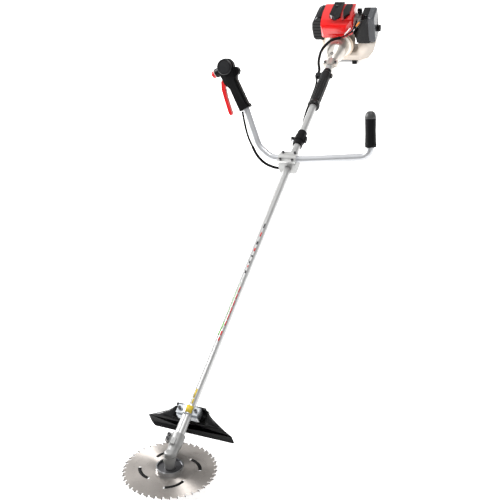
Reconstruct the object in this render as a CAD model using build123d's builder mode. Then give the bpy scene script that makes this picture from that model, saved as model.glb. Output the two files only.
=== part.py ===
from build123d import *
from math import atan, cos, degrees, radians, sin, tan
import os

# Petrol brush cutter with a carbide saw blade, laid down on the ground on its blade and stand.
# Working frame: origin where the shaft axis meets the blade spindle axis, X along the shaft
# towards the engine, Z up, +Y the operator's right. A small resting tilt is applied at the end.
# All lengths in mm.

# ---- driving dimensions -------------------------------------------------------------------
HEAD_ANGLE = 57.0
BLADE_DROP = 29.0
BLADE_RADIUS = 115.0
BLADE_THICK = 1.4
TEETH = 40
TIP_THICK = 2.0
BORE_RADIUS = 12.7
SPINDLE_RADIUS = 6.0
SPINDLE_NECK = 5.0
RUN_FIT = 0.03
PINION_TEETH = 14
GEAR_TEETH = 19
TOOTH_MODULE = 1.0
PIPE_RADIUS = 12.5
PIPE_WALL = 1.5
PIPE_START = 34.0
PIPE_END = 1598.0
SHAFT_RADIUS = 4.0
BRACKET_U = 127.0
HANDLE_U = 1033.0
HANDLE_Z = 27.0
HANDLE_LEAN = 55.0
BAR_RADIUS = 11.0
BAR_WALL = 1.6
BAR_LINE = -11.0
GRIP_INNER = 15.8
GRIP_OUTER = 21.0
HANGER_U = 1158.0
SLEEVE_START = 1332.0
CASE_START = 1563.0
HOUSING_START = 1706.0
HOUSING_END = 1745.0
HOUSING_RADIUS = 58.0
CRANK_U = 1770.0
COVER_START = 1682.0
COVER_END = 1808.0
COVER_BOTTOM = 47.0
WALL = 2.5
BOLT_RADIUS = 2.5
CABLE_RADIUS = 3.5
SLEEVING_RADIUS = 5.0
HANDLE_SLEEVE_RADIUS = 4.6
LEAD_RADIUS = 2.5
ARM_Y = 30.0
STAND_Z = -112.0

# ---- directions and planes ----------------------------------------------------------------
HEAD = radians(HEAD_ANGLE)
UP = Vector(cos(HEAD), 0, sin(HEAD))
BACK = Vector(sin(HEAD), 0, -cos(HEAD))
SIDE = Vector(0, 1, 0)
BLADE_CENTRE = UP * -BLADE_DROP
LEAN = radians(HANDLE_LEAN)
RISE = Vector(cos(LEAN), 0, sin(LEAN))
FACE = Vector(-sin(LEAN), 0, cos(LEAN))
BAR_ORIGIN = Vector(HANDLE_U, 0, HANDLE_Z) - RISE * BAR_LINE


def shaft(u, y=0.0, z=0.0):
    """Plane square to the shaft at distance u: local x is Y, local y is Z."""
    return Plane(origin=(u, y, z), x_dir=(0, 1, 0), z_dir=(1, 0, 0))


def spindle(h):
    """Plane square to the blade spindle at height h above the shaft axis."""
    return Plane(origin=UP * h, x_dir=BACK, z_dir=UP)


def level(u, y, z):
    """Plane parallel to the shaft, facing up: local x is the shaft direction."""
    return Plane(origin=(u, y, z), x_dir=(1, 0, 0), z_dir=(0, 0, 1))


def across(u, y, z):
    """Plane facing +Y: local x is the shaft direction reversed, local y is Z."""
    return Plane(origin=(u, y, z), x_dir=(-1, 0, 0), z_dir=(0, 1, 0))


def bar_point(y, e):
    """Point of the handlebar plane, y sideways and e up the lean."""
    return BAR_ORIGIN + SIDE * y + RISE * e


def disc(plane, radius, length, mode=Mode.ADD):
    """Solid cylinder from the plane along its normal."""
    with BuildSketch(plane) as profile:
        Circle(radius)
    extrude(profile.sketch, amount=length, mode=mode)


def ring(plane, outer, inner, length):
    """Tube from the plane along its normal."""
    with BuildSketch(plane) as profile:
        Circle(outer)
        Circle(inner, mode=Mode.SUBTRACT)
    extrude(profile.sketch, amount=length)


def block(low, high, mode=Mode.ADD):
    """Axis-aligned block between two corners."""
    size = [b - a for a, b in zip(low, high)]
    middle = [(a + b) / 2 for a, b in zip(low, high)]
    with Locations(Location(tuple(middle))):
        Box(size[0], size[1], size[2], mode=mode)


def turned(points, origin, x_dir, z_dir):
    """Body of revolution of a closed profile round the local y axis of the plane."""
    plane = Plane(origin=origin, x_dir=x_dir, z_dir=z_dir)
    with BuildSketch(plane) as profile:
        with BuildLine():
            Polyline(*points, close=True)
        make_face()
    revolve(profile.sketch, axis=Axis(origin, plane.y_dir), revolution_arc=360)


made = []


def keep(builder, name):
    """Label a finished piece and put it on the list for export."""
    builder.part.label = name
    made.append((builder.part, name))


# ---- saw blade -----------------------------------------------------------------------------
def polar(radius, angle):
    return (radius * cos(radians(angle)), radius * sin(radians(angle)))


PITCH = 360.0 / TEETH
outline = []
for tooth in range(TEETH):
    front = tooth * PITCH
    outline.append(polar(BLADE_RADIUS - 8.6, front - 6.5))
    outline.append(polar(BLADE_RADIUS - 3.4, front - 5.4))
    outline.append(polar(BLADE_RADIUS - 1.4, front))
    outline.append(polar(BLADE_RADIUS - 7.0, front))
    outline.append(polar(BLADE_RADIUS - 8.8, front + 0.8))
    outline.append(polar(BLADE_RADIUS - 9.6, front + 1.8))

with BuildPart() as saw_blade:
    with BuildSketch(spindle(-BLADE_DROP - BLADE_THICK / 2)):
        with BuildLine():
            Polyline(*outline, close=True)
        make_face()
        Circle(BORE_RADIUS, mode=Mode.SUBTRACT)
        for quarter in range(4):
            start = 90.0 * quarter + 18.0
            arc = Edge.make_three_point_arc(
                polar(73.0, start), polar(68.5, start + 20.0), polar(60.5, start + 41.0)
            )
            SlotArc(arc=arc, height=8.5, mode=Mode.SUBTRACT)
    extrude(amount=BLADE_THICK)
keep(saw_blade, "saw_blade")

with BuildPart() as carbide_tips:
    with BuildSketch(spindle(-BLADE_DROP - TIP_THICK / 2)):
        for tooth in range(TEETH):
            front = tooth * PITCH
            with BuildLine():
                Polyline(
                    polar(BLADE_RADIUS - 6.9, front),
                    polar(BLADE_RADIUS, front),
                    polar(BLADE_RADIUS - 0.2, front + 1.1),
                    polar(BLADE_RADIUS - 6.1, front + 1.1),
                    close=True,
                )
            make_face()
    extrude(amount=TIP_THICK)
keep(carbide_tips, "carbide_tips")

# ---- blade holders, bolt and spindle -------------------------------------------------------
BLADE_TOP = -BLADE_DROP + BLADE_THICK / 2
BLADE_UNDER = -BLADE_DROP - BLADE_THICK / 2
HOLDER_RADIUS = 33.5
HOLDER_FLOOR = BLADE_TOP + 3.8

with BuildPart() as upper_holder:
    ring(spindle(BLADE_TOP), HOLDER_RADIUS, SPINDLE_RADIUS, 3.8)
    ring(spindle(HOLDER_FLOOR), HOLDER_RADIUS, HOLDER_RADIUS - 3.0, 5.0)
    ring(spindle(BLADE_TOP - 1.2), BORE_RADIUS - 0.05, SPINDLE_RADIUS, 1.2)
keep(upper_holder, "upper_holder")

with BuildPart() as lower_holder:
    ring(spindle(BLADE_UNDER - 3.5), 27.0, 4.1, 3.5)
    ring(spindle(BLADE_UNDER - 10.0), 20.0, 12.0, 6.5)
    chamfer(lower_holder.edges().filter_by(GeomType.CIRCLE).group_by(Axis((0, 0, 0), UP))[0], 1.0)
keep(lower_holder, "lower_holder")

with BuildPart() as blade_bolt:
    with BuildSketch(spindle(BLADE_UNDER - 9.0)):
        RegularPolygon(7.5, 6)
    extrude(amount=5.5)
    disc(spindle(BLADE_UNDER - 3.5), 3.98, 20.0)
keep(blade_bolt, "blade_bolt")

with BuildPart() as gear_spindle:
    disc(spindle(BLADE_UNDER + 0.1), SPINDLE_RADIUS, 17.6)
    disc(spindle(BLADE_UNDER + 0.1), SPINDLE_NECK, 46.6)
    disc(spindle(BLADE_UNDER), 4.0, 20.0, Mode.SUBTRACT)
keep(gear_spindle, "gear_spindle")

# ---- bevel gears ----------------------------------------------------------------------------
RATIO = GEAR_TEETH / PINION_TEETH
PINION_CONE = atan(sin(HEAD) / (RATIO + cos(HEAD)))
GEAR_CONE = HEAD - PINION_CONE
PINION_PITCH = TOOTH_MODULE * PINION_TEETH / 2
GEAR_PITCH = TOOTH_MODULE * GEAR_TEETH / 2
INNER_SCALE = 0.74
TIP_ADD = 0.9
ROOT_SUB = 1.2


def tooth_section(plane, pitch_radius, cone, scale):
    """One straight bevel tooth cut square to the gear axis."""
    tip = (pitch_radius + TIP_ADD * cos(cone)) * scale
    root = (pitch_radius - ROOT_SUB * cos(cone) - 0.4) * scale
    with BuildSketch(plane) as section:
        with BuildLine():
            Polyline(
                (root, 0.87 * scale), (tip, 0.33 * scale), (tip, -0.33 * scale),
                (root, -0.87 * scale), close=True,
            )
        make_face()
    return section.sketch


def cone_blank(pitch_radius, cone, plane_of):
    """Root cone of a bevel gear between its two ends."""
    root = pitch_radius - ROOT_SUB * cos(cone)
    far = pitch_radius / tan(cone)
    with BuildSketch(plane_of(far)) as large:
        Circle(root)
    with BuildSketch(plane_of(far * INNER_SCALE)) as small:
        Circle(root * INNER_SCALE)
    loft([large.sketch, small.sketch])


with BuildPart() as gear_tooth:
    far_end = GEAR_PITCH / tan(GEAR_CONE)
    loft([
        tooth_section(spindle(far_end), GEAR_PITCH, GEAR_CONE, 1.0),
        tooth_section(spindle(far_end * INNER_SCALE), GEAR_PITCH, GEAR_CONE, INNER_SCALE),
    ])

with BuildPart() as pinion_tooth:
    far_end = PINION_PITCH / tan(PINION_CONE)
    loft([
        tooth_section(shaft(far_end), PINION_PITCH, PINION_CONE, 1.0),
        tooth_section(shaft(far_end * INNER_SCALE), PINION_PITCH, PINION_CONE, INNER_SCALE),
    ])

GEAR_FAR = GEAR_PITCH / tan(GEAR_CONE)
with BuildPart() as bevel_gear:
    cone_blank(GEAR_PITCH, GEAR_CONE, spindle)
    disc(spindle(GEAR_FAR), GEAR_PITCH - 2.0, 2.4)
    for count in range(GEAR_TEETH):
        turn = 360.0 / GEAR_TEETH * (count + 0.5)
        add(gear_tooth.part.rotate(Axis((0, 0, 0), UP), turn))
    disc(spindle(0.0), SPINDLE_NECK, 40.0, Mode.SUBTRACT)
keep(bevel_gear, "bevel_gear")

PINION_FAR = PINION_PITCH / tan(PINION_CONE)
with BuildPart() as pinion_gear:
    cone_blank(PINION_PITCH, PINION_CONE, shaft)
    disc(shaft(PINION_FAR), 5.0, 16.9)
    for count in range(PINION_TEETH):
        add(pinion_tooth.part.rotate(Axis.X, 360.0 / PINION_TEETH * count + 90.0))
    disc(shaft(26.0), 3.2, 12.0, Mode.SUBTRACT)
keep(pinion_gear, "pinion_gear")

# ---- gear case and its bearings ---------------------------------------------------------------
with BuildPart() as spindle_bearings:
    ring(spindle(-20.0), 11.2, SPINDLE_RADIUS + RUN_FIT, 7.0)
    ring(spindle(-11.5), 11.2, SPINDLE_NECK + RUN_FIT, 5.0)
keep(spindle_bearings, "spindle_bearings")

with BuildPart() as pinion_bearing:
    ring(shaft(25.5), 12.0, 5.0 + RUN_FIT, 7.0)
keep(pinion_bearing, "pinion_bearing")

SOCKET_END = 62.0
with BuildPart() as gear_case:
    disc(spindle(-22.5), 13.0, 42.0)
    fillet(gear_case.edges().filter_by(GeomType.CIRCLE).group_by(Axis((0, 0, 0), UP))[-1], 5.0)
    disc(spindle(-6.0), 15.0, 12.0)
    turned(
        [(0, 0), (13.6, 0), (14.2, 26), (16.5, 34), (16.5, SOCKET_END), (0, SOCKET_END)],
        (0, 0, 0), (0, 1, 0), (0, 0, -1),
    )
    block((38.0, 0.0, -9.0), (SOCKET_END - 2.0, 27.0, 9.0))
    block((30.0, -5.0, 10.0), (46.0, 5.0, 19.5))
    disc(spindle(-20.0), 11.2, 37.5, Mode.SUBTRACT)
    disc(spindle(-23.0), 9.0, 4.0, Mode.SUBTRACT)
    disc(shaft(8.0), 9.0, 17.5, Mode.SUBTRACT)
    disc(shaft(25.5), 12.0, 9.0, Mode.SUBTRACT)
    disc(shaft(PIPE_START - 0.2), PIPE_RADIUS, 40.0, Mode.SUBTRACT)
    block((37.0, 8.0, -1.0), (SOCKET_END + 1.0, 30.0, 1.0), Mode.SUBTRACT)
    for bolt_u in (44.0, 54.0):
        disc(level(bolt_u, 20.5, -20.0), BOLT_RADIUS, 40.0, Mode.SUBTRACT)
keep(gear_case, "gear_case")

# ---- main pipe, drive shaft and bushes ---------------------------------------------------------
DRUM_HUB = 1606.0
with BuildPart() as main_pipe:
    ring(shaft(PIPE_START), PIPE_RADIUS, PIPE_RADIUS - PIPE_WALL, PIPE_END - PIPE_START)
keep(main_pipe, "main_pipe")

with BuildPart() as drive_shaft:
    disc(shaft(26.5), 3.2, 7.5)
    disc(shaft(34.0), SHAFT_RADIUS, 1640.0 - 34.0)
keep(drive_shaft, "drive_shaft")

with BuildPart() as drive_shaft_bushes:
    for bush_u in (110.0, 380.0, 650.0, 920.0, 1190.0, 1460.0, 1570.0):
        ring(shaft(bush_u), PIPE_RADIUS - PIPE_WALL, SHAFT_RADIUS + RUN_FIT, 22.0)
keep(drive_shaft_bushes, "drive_shaft_bushes")

# ---- guard and its bracket -----------------------------------------------------------------------
GUARD_FRONT = 115.0
GUARD_DEPTH = 17.0
GUARD_SKIN = 3.0
GUARD_FACE = [(103, 29), (113, 40), (121.5, 58), (87.5, 67), (58, 72.5), (41, 73.5), (-43, 73.5),
              (-60, 69.5), (-76, 66), (-92, 60), (-113, 47), (-120, 31), (-115, 28.5)]
GUARD_REAR = [(40, 45), (50, 60), (56, 80), (54, 86), (50, 91), (42, 93), (-36, 93),
              (-40, 90), (-44, 86), (-47, 80), (-50, 70), (-50, 60), (-46, 45)]


def guard_section(back, points, wide=1.0, drop=0.0):
    """Guard section square to the blade's backward direction, narrowed and lowered for the cavity."""
    plane = Plane(origin=BLADE_CENTRE + BACK * back, x_dir=SIDE, z_dir=BACK)
    with BuildSketch(plane) as section:
        with BuildLine():
            Polyline(*[(y * wide, h - drop) for y, h in points], close=True)
        make_face()
    return section.sketch


with BuildPart() as guard:
    loft([guard_section(GUARD_FRONT, GUARD_FACE), guard_section(GUARD_FRONT + GUARD_DEPTH, GUARD_REAR)],
         ruled=True)
    cavity_face = [(y, h if i in range(2, 12) else h - 60) for i, (y, h) in enumerate(GUARD_FACE)]
    cavity_rear = [(y, h if i in range(2, 12) else h - 60) for i, (y, h) in enumerate(GUARD_REAR)]
    loft([guard_section(GUARD_FRONT + GUARD_SKIN, cavity_face, 0.97, GUARD_SKIN),
          guard_section(GUARD_FRONT + GUARD_DEPTH + 1, cavity_rear, 0.94, GUARD_SKIN)],
         ruled=True, mode=Mode.SUBTRACT)
    block((BRACKET_U - 60, -140, -20.0), (BRACKET_U + 60, 140, 40.0), Mode.SUBTRACT)
    block((BRACKET_U - 13, -42, -32.0), (BRACKET_U + 20, 46, -20.0))
    block((BRACKET_U + 14.3, -38, -24.0), (BRACKET_U + 20, 42, -5.0))
    disc(shaft(BRACKET_U - 40), PIPE_RADIUS + 1.0, 80.0, Mode.SUBTRACT)
    for bolt_y in (-22.0, 22.0):
        disc(level(BRACKET_U, bolt_y, -40.0), BOLT_RADIUS, 60.0, Mode.SUBTRACT)
keep(guard, "guard")

with BuildPart() as guard_bracket:
    block((BRACKET_U - 14, -29, -20.0), (BRACKET_U + 14, 29, -0.5))
    disc(shaft(BRACKET_U - 30), PIPE_RADIUS, 60.0, Mode.SUBTRACT)
    for bolt_y in (-22.0, 22.0):
        disc(level(BRACKET_U, bolt_y, -40.0), BOLT_RADIUS, 60.0, Mode.SUBTRACT)
keep(guard_bracket, "guard_bracket")

with BuildPart() as guard_bracket_cap:
    block((BRACKET_U - 11, -29, 0.5), (BRACKET_U + 11, 29, 9.0))
    disc(shaft(BRACKET_U - 11), 17.5, 22.0)
    block((BRACKET_U - 30, -40, -30.0), (BRACKET_U + 30, 40, 0.5), Mode.SUBTRACT)
    disc(shaft(BRACKET_U - 30), PIPE_RADIUS, 60.0, Mode.SUBTRACT)
    for bolt_y in (-22.0, 22.0):
        disc(level(BRACKET_U, bolt_y, -40.0), BOLT_RADIUS, 60.0, Mode.SUBTRACT)
keep(guard_bracket_cap, "guard_bracket_cap")

# ---- handle clamp ------------------------------------------------------------------------------
CLAMP_HALF_U = 23.0
CLAMP_HALF_Y = 29.5
CLAMP_BOLTS = [(du, dy) for du in (-17.0, 17.0) for dy in (-20.0, 20.0)]

with BuildPart() as handle_clamp_base:
    block((HANDLE_U - CLAMP_HALF_U, -CLAMP_HALF_Y, -17.0),
          (HANDLE_U + CLAMP_HALF_U, CLAMP_HALF_Y, HANDLE_Z - 0.5))
    chamfer(handle_clamp_base.edges().filter_by(Axis.X), 5.0)
    disc(shaft(HANDLE_U - 40), PIPE_RADIUS, 80.0, Mode.SUBTRACT)
    disc(across(HANDLE_U, -40.0, HANDLE_Z), BAR_RADIUS + RUN_FIT, 80.0, Mode.SUBTRACT)
    for du, dy in CLAMP_BOLTS:
        disc(level(HANDLE_U + du, dy, -40.0), BOLT_RADIUS, 90.0, Mode.SUBTRACT)
keep(handle_clamp_base, "handle_clamp_base")

with BuildPart() as handle_clamp_cap:
    block((HANDLE_U - CLAMP_HALF_U, -CLAMP_HALF_Y, HANDLE_Z + 0.5),
          (HANDLE_U + CLAMP_HALF_U, CLAMP_HALF_Y, HANDLE_Z + 9.0))
    disc(across(HANDLE_U, -CLAMP_HALF_Y, HANDLE_Z), 15.5, 2 * CLAMP_HALF_Y)
    block((HANDLE_U - 40, -60, -40), (HANDLE_U + 40, 60, HANDLE_Z + 0.5), Mode.SUBTRACT)
    disc(across(HANDLE_U, -40.0, HANDLE_Z), BAR_RADIUS + RUN_FIT, 80.0, Mode.SUBTRACT)
    for du, dy in CLAMP_BOLTS:
        disc(level(HANDLE_U + du, dy, -40.0), BOLT_RADIUS, 90.0, Mode.SUBTRACT)
keep(handle_clamp_cap, "handle_clamp_cap")


# ---- socket-head bolts shared by the clamps -----------------------------------------------------
def clamp_bolt(u, y, top, length):
    """Socket-head bolt pointing down, head resting at height top."""
    disc(level(u, y, top - length), BOLT_RADIUS, length)
    disc(level(u, y, top), 4.25, 5.0)
    with BuildSketch(level(u, y, top + 2.0)) as socket:
        RegularPolygon(2.3, 6)
    extrude(socket.sketch, amount=4.0, mode=Mode.SUBTRACT)


with BuildPart() as clamp_bolts:
    for bolt_u in (44.0, 54.0):
        clamp_bolt(bolt_u, 20.5, 9.0, 17.0)
    for bolt_y in (-22.0, 22.0):
        clamp_bolt(BRACKET_U, bolt_y, 9.0, 32.0)
    for du, dy in CLAMP_BOLTS:
        clamp_bolt(HANDLE_U + du, dy, HANDLE_Z + 9.0, 45.0)
    for bolt_y in (-20.0, 20.0):
        clamp_bolt(CASE_START + 20, bolt_y, 8.0, 15.0)
keep(clamp_bolts, "clamp_bolts")

# ---- handlebar and left grip ----------------------------------------------------------------------
GRIP_START = (148.9, 141.5)
GRIP_ALONG = (0.477, 0.879)
BAR_STOPS = [(-259.5, 137.5), (-268.0, 13.0), (-45.0, BAR_LINE), (57.0, BAR_LINE),
             (100.6, 20.3), (147.0, 138.0),
             (147.0 + 62.0 * GRIP_ALONG[0], 138.0 + 62.0 * GRIP_ALONG[1])]
BAR_RADII = [34.0, 280.0, 55.0, 55.0, 150.0]

with BuildPart() as handlebar:
    with BuildLine() as bar_path:
        FilletPolyline(*[bar_point(y, e) for y, e in BAR_STOPS], radius=BAR_RADII)
    with BuildSketch(Plane(origin=bar_path.line @ 0, z_dir=bar_path.line % 0)):
        Circle(BAR_RADIUS)
        Circle(BAR_RADIUS - BAR_WALL, mode=Mode.SUBTRACT)
    sweep(path=bar_path.line)
keep(handlebar, "handlebar")

LEFT_AXIS = (bar_point(*BAR_STOPS[0]) - bar_point(*BAR_STOPS[1])).normalized()
LEFT_END = bar_point(*BAR_STOPS[0])
with BuildPart() as left_grip:
    turned(
        [(BAR_RADIUS + 1.2, -95.5), (16.8, -95.5), (18.2, -88), (17.0, -80), (16.3, -50), (16.6, -16),
         (16.9, -10), (16.5, -2), (14.8, 5), (11.0, 10.5), (6.0, 13.3), (0.0, 14.0), (0.0, 0.0),
         (BAR_RADIUS, 0.0), (BAR_RADIUS, -84.0)],
        LEFT_END, FACE, FACE.cross(LEFT_AXIS),
    )
keep(left_grip, "left_grip")

# ---- throttle grip ------------------------------------------------------------------------------
# Local frame of the grip: x along it, y outwards towards the fingers, z up out of the bar plane.
ALONG = SIDE * GRIP_ALONG[0] + RISE * GRIP_ALONG[1]
OUT = SIDE * GRIP_ALONG[1] - RISE * GRIP_ALONG[0]
GRIP_ORIGIN = bar_point(*GRIP_START)
SHELL_HALF = 17.0
LEVER_PIVOT = (116.0, 24.0)
LEVER_HALF = 6.5
HEAD_CENTRE = (147.5, 0.0)
HEAD_RADIUS = 27.0
BUTTON_X = 146.0
BUTTON_RADIUS = 12.0
DIAL_CENTRE = (121.0, -23.0)
DIAL_RADIUS = 14.0


def grip_plane(z):
    """Plane of the throttle grip at height z out of the bar plane."""
    return Plane(origin=GRIP_ORIGIN + FACE * z, x_dir=ALONG, z_dir=FACE)


def grip_spot(x, y, z):
    """Plane facing outwards (away from the grip axis) at a point of the grip."""
    origin = GRIP_ORIGIN + ALONG * x + OUT * y + FACE * z
    return Plane(origin=origin, x_dir=ALONG, z_dir=OUT)


def grip_outline(inset):
    """Side outline of the throttle grip and its head, pulled in by inset."""
    with BuildLine() as edge:
        Polyline(
            (0.0, -GRIP_INNER - 3.5 + inset), (0.0, GRIP_OUTER - inset), (80.0, GRIP_OUTER - 1.5 - inset),
            (100.0, 29.0 - inset), (130.0, 30.0 - inset), (138.0, 27.0 - inset),
            (138.0, -24.0 + inset), (124.0, -25.0 + inset), (106.0, -20.0 + inset),
            (98.0, -GRIP_INNER + inset), (13.0, -GRIP_INNER + inset),
            (9.0, -GRIP_INNER - 3.5 + inset), close=True,
        )
    make_face(edge.edges())
    with Locations(HEAD_CENTRE):
        Circle(HEAD_RADIUS - inset)


def pocket(z, centre, shape_of, depth):
    """Cut a pocket of the given shape from height z of the grip."""
    with BuildSketch(grip_plane(z)) as profile:
        with Locations(centre):
            shape_of()
    extrude(profile.sketch, amount=depth, mode=Mode.SUBTRACT)


def throttle_shell(sign):
    """Half of the throttle grip on one side of the bar plane."""
    for low, high, inset in ((0.1, 9.0, 0.0), (9.0, 13.5, 2.5), (13.5, SHELL_HALF, 6.5)):
        with BuildSketch(grip_plane(low * sign)) as layer:
            grip_outline(inset)
        extrude(layer.sketch, amount=(high - low) * sign)
    disc(grip_spot(BUTTON_X, 12.0, 0.0), 15.0, 30.0)
    disc(grip_spot(BUTTON_X, 34.5, 0.0), BUTTON_RADIUS + 0.4, 12.0, Mode.SUBTRACT)
    pocket(-20.0 * sign, (80.0, 0.0), lambda: Rectangle(400.0, 200.0), 20.1 * sign)
    bar_cut = Plane(origin=GRIP_ORIGIN - ALONG * 30.0, x_dir=FACE, z_dir=ALONG)
    disc(bar_cut, BAR_RADIUS + 0.9, 48.0, Mode.SUBTRACT)
    disc(bar_cut, BAR_RADIUS + 0.01, 90.0, Mode.SUBTRACT)
    pocket(-LEVER_HALF - 0.6, (104.0, 30.0), lambda: Rectangle(48.0, 34.0), 2 * LEVER_HALF + 1.2)
    pocket(-8.6, DIAL_CENTRE, lambda: Circle(DIAL_RADIUS + 0.6), 17.2)


with BuildPart() as throttle_shell_front:
    throttle_shell(1.0)
keep(throttle_shell_front, "throttle_shell_front")

with BuildPart() as throttle_shell_rear:
    throttle_shell(-1.0)
    with BuildSketch(grip_plane(-LEVER_HALF - 0.7)):
        with Locations(LEVER_PIVOT):
            Circle(3.0)
        with Locations(DIAL_CENTRE):
            Circle(3.0)
    extrude(amount=2 * LEVER_HALF + 1.2)
    with BuildSketch(grip_plane(-12.0)):
        with Locations(DIAL_CENTRE):
            Circle(7.0)
    extrude(amount=3.4)
    with BuildSketch(grip_plane(-8.7)):
        with Locations(DIAL_CENTRE):
            Circle(3.0)
    extrude(amount=3.0)
keep(throttle_shell_rear, "throttle_shell_rear")

with BuildPart() as throttle_head_cap:
    with BuildSketch(grip_plane(SHELL_HALF)):
        with Locations(HEAD_CENTRE):
            Circle(HEAD_RADIUS - 2.0)
    extrude(amount=6.0)
    chamfer(throttle_head_cap.faces().sort_by(Axis((0, 0, 0), FACE))[-1].edges(), 2.0)
keep(throttle_head_cap, "throttle_head_cap")

with BuildPart() as throttle_lever:
    with BuildSketch(grip_plane(-LEVER_HALF)):
        with BuildLine():
            Polyline(
                (122.0, 20.0), (114.0, 37.0), (92.0, 47.0), (60.0, 53.0), (14.0, 60.0),
                (4.0, 59.0), (4.0, 50.0), (58.0, 42.0), (88.0, 34.0), (104.0, 25.0),
                (110.0, 18.0), close=True,
            )
        make_face()
        with Locations(LEVER_PIVOT):
            Circle(7.0)
            Circle(3.0 + RUN_FIT, mode=Mode.SUBTRACT)
    extrude(amount=2 * LEVER_HALF)
keep(throttle_lever, "throttle_lever")

with BuildPart() as stop_button:
    disc(grip_spot(BUTTON_X, 38.0, 0.0), BUTTON_RADIUS, 18.0)
    chamfer(stop_button.faces().sort_by(Axis((0, 0, 0), OUT))[-1].edges(), 2.0)
keep(stop_button, "stop_button")

with BuildPart() as speed_dial:
    with BuildSketch(grip_plane(-8.0)):
        with Locations(DIAL_CENTRE):
            Circle(DIAL_RADIUS)
            Circle(3.0 + RUN_FIT, mode=Mode.SUBTRACT)
    extrude(amount=16.0)
keep(speed_dial, "speed_dial")

# ---- harness hanger and shaft grip ------------------------------------------------------------------
EYE_Y = 23.0
EYE_RADIUS = 9.5
EYE_WIRE = 1.9
with BuildPart() as hanger_clamp:
    ring(shaft(HANGER_U - 33), 16.5, PIPE_RADIUS, 66.0)
    ring(shaft(HANGER_U - 12), 18.5, PIPE_RADIUS, 24.0)
    block((HANGER_U - 4, 15.0, -7.0), (HANGER_U + 4, 29.5, 7.0))
    disc(shaft(HANGER_U - 4, EYE_Y), 3.6, 8.0, Mode.SUBTRACT)
    block((HANGER_U - 10, -24.0, 1.0), (HANGER_U + 10, -15.0, 6.0))
    block((HANGER_U - 10, -24.0, -6.0), (HANGER_U + 10, -15.0, -1.0))
keep(hanger_clamp, "hanger_clamp")

with BuildPart() as hanger_eye:
    with BuildSketch(shaft(HANGER_U, EYE_Y, 0.0)):
        Circle(EYE_WIRE)
    revolve(axis=Axis((HANGER_U, EYE_Y, -EYE_RADIUS), (0, 1, 0)), revolution_arc=360)
keep(hanger_eye, "hanger_eye")

with BuildPart() as shaft_grip:
    turned(
        [(PIPE_RADIUS, 0), (20.5, 0), (22.0, 6), (20.5, 15), (17.6, 22), (16.8, 110),
         (18.6, 160), (19.6, 172), (19.6, 184), (16.4, 190), (15.6, 206), (PIPE_RADIUS, 206)],
        (SLEEVE_START, 0, 0), (0, 1, 0), (0, 0, -1),
    )
    with BuildSketch(shaft(SLEEVE_START + 28)) as flutes:
        with PolarLocations(16.9, 14):
            Circle(1.7)
    extrude(flutes.sketch, amount=122.0)
    block((SLEEVE_START + 168, 10.0, -7.5), (SLEEVE_START + 188, 37.0, 7.5))
    block((SLEEVE_START + 172, -25.0, -6.0), (SLEEVE_START + 186, -10.0, 6.0))
    disc(shaft(SLEEVE_START - 5), PIPE_RADIUS, 260.0, Mode.SUBTRACT)
    disc(shaft(SLEEVE_START + 160, ARM_Y, 0.0), SLEEVING_RADIUS + 0.4, 50.0, Mode.SUBTRACT)
keep(shaft_grip, "shaft_grip")

# ---- clutch -------------------------------------------------------------------------------------
with BuildPart() as clutch_case:
    turned(
        [(0, 0), (17.5, 0), (17.5, 38), (19.5, 42), (24.5, 60), (34.0, 82), (37.5, 90), (39.0, 96),
         (42.0, 138), (52.0, 139), (52.0, 143), (36.0, 143), (34.5, 138), (34.5, 89),
         (28.0, 84), (20.0, 72), (0, 72)],
        (CASE_START, 0, 0), (0, 1, 0), (0, 0, -1),
    )
    block((CASE_START + 8, -25.5, -8.0), (CASE_START + 34, 25.5, 8.0))
    disc(shaft(CASE_START - 5), PIPE_RADIUS, PIPE_END - CASE_START + 5, Mode.SUBTRACT)
    disc(shaft(CASE_START), 8.0, 80.0, Mode.SUBTRACT)
    disc(shaft(CASE_START + 54), 14.0, 30.0, Mode.SUBTRACT)
    block((CASE_START - 1, -40.0, -1.0), (CASE_START + 36, 40.0, 1.0), Mode.SUBTRACT)
    for bolt_y in (-20.0, 20.0):
        disc(level(CASE_START + 20, bolt_y, -20.0), BOLT_RADIUS, 40.0, Mode.SUBTRACT)
keep(clutch_case, "clutch_case")

with BuildPart() as drum_bearing:
    ring(shaft(CASE_START + 54), 14.0, SPINDLE_RADIUS + RUN_FIT, 8.0)
keep(drum_bearing, "drum_bearing")

with BuildPart() as clutch_drum:
    disc(shaft(DRUM_HUB), SPINDLE_RADIUS, 56.0)
    disc(shaft(1660.0), 32.5, 27.0)
    disc(shaft(1663.0), 30.0, 30.0, Mode.SUBTRACT)
    disc(shaft(DRUM_HUB - 1), SHAFT_RADIUS, 1640.5 - DRUM_HUB + 1, Mode.SUBTRACT)
keep(clutch_drum, "clutch_drum")

with BuildPart() as clutch_shoes:
    ring(shaft(1666.0), 29.0, 15.0, 15.0)
    block((1660.0, -1.5, -40.0), (1690.0, 1.5, 40.0), Mode.SUBTRACT)
    for pin_y in (-22.0, 22.0):
        disc(shaft(1666.0, pin_y), 4.5, HOUSING_START + 2.0 - 1666.0)
keep(clutch_shoes, "clutch_shoes")

# ---- fan housing, flywheel and crank -----------------------------------------------------------------
with BuildPart() as fan_housing:
    ring(shaft(HOUSING_START), HOUSING_RADIUS, 44.0, WALL)
    ring(shaft(HOUSING_START), HOUSING_RADIUS, HOUSING_RADIUS - WALL, HOUSING_END - HOUSING_START)
    ring(shaft(HOUSING_END - WALL), HOUSING_RADIUS, 16.0, WALL)
    block((HOUSING_START + 6, -30, 20), (HOUSING_END - 4, 30, 80), Mode.SUBTRACT)
keep(fan_housing, "fan_housing")

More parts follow.
